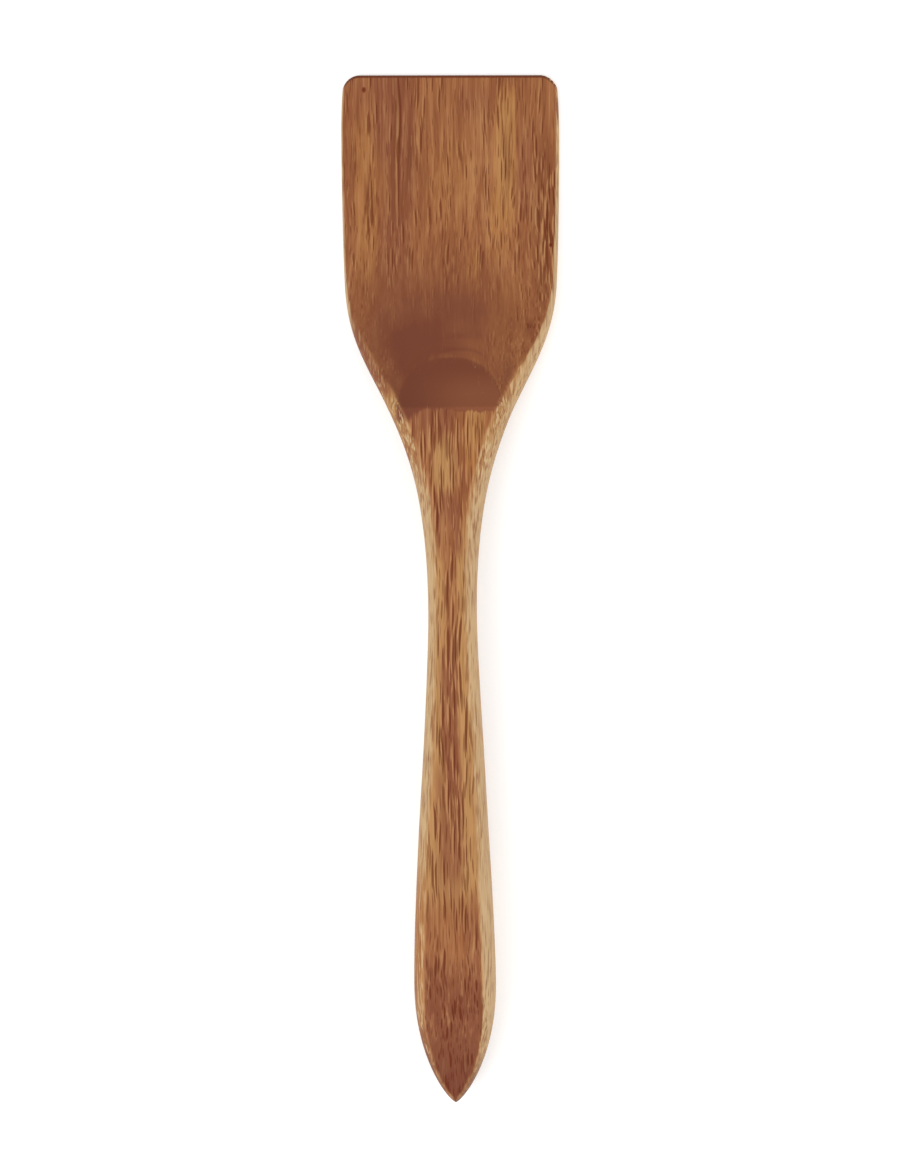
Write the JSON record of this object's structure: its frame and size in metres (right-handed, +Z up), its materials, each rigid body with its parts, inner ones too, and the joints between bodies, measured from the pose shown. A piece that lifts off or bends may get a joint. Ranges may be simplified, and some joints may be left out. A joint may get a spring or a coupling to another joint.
{
  "type": "wooden spatula",
  "caption": "Long wooden cooking spatula with a flat square-ended blade, a scooped heel, a slim neck and a grip that swells towards a pointed end.",
  "frame": {"origin": "on the surface the tool lies on, below the middle of its bounding box", "axes": "+Y from the grip to the blade's front edge, +X across the blade, +Z up through the face with the tool lying on its back"},
  "size_m": [0.0682, 0.32, 0.0165],
  "materials": {
    "wood": "oiled satin, reddish brown with darker and yellower streaks along the tool"
  },
  "bodies": {
    "root": {"spatula_body": "wood"}
  },
  "joints": []
}
